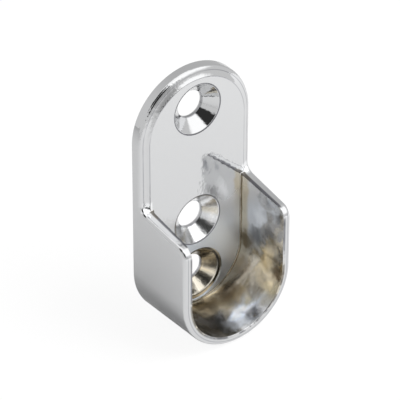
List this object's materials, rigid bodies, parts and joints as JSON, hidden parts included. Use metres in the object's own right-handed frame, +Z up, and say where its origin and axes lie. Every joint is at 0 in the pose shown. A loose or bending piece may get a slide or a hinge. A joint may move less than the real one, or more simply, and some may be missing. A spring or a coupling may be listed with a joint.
{
  "type": "wardrobe rail end support",
  "caption": "Chrome-plated end support that screws to a wardrobe's side and cradles the end of an oval hanging rail.",
  "frame": {"origin": "on the back face of the screw plate, on its centre line, midway between the two upper screw holes", "axes": "+Z up along the plate, +Y into the wardrobe's side, -Y out along the rail, X across the plate"},
  "size_m": [0.0208, 0.0128, 0.0439],
  "materials": {
    "plated_casting": "polished"
  },
  "bodies": {
    "root": {"rail_support": "plated_casting"}
  },
  "joints": []
}
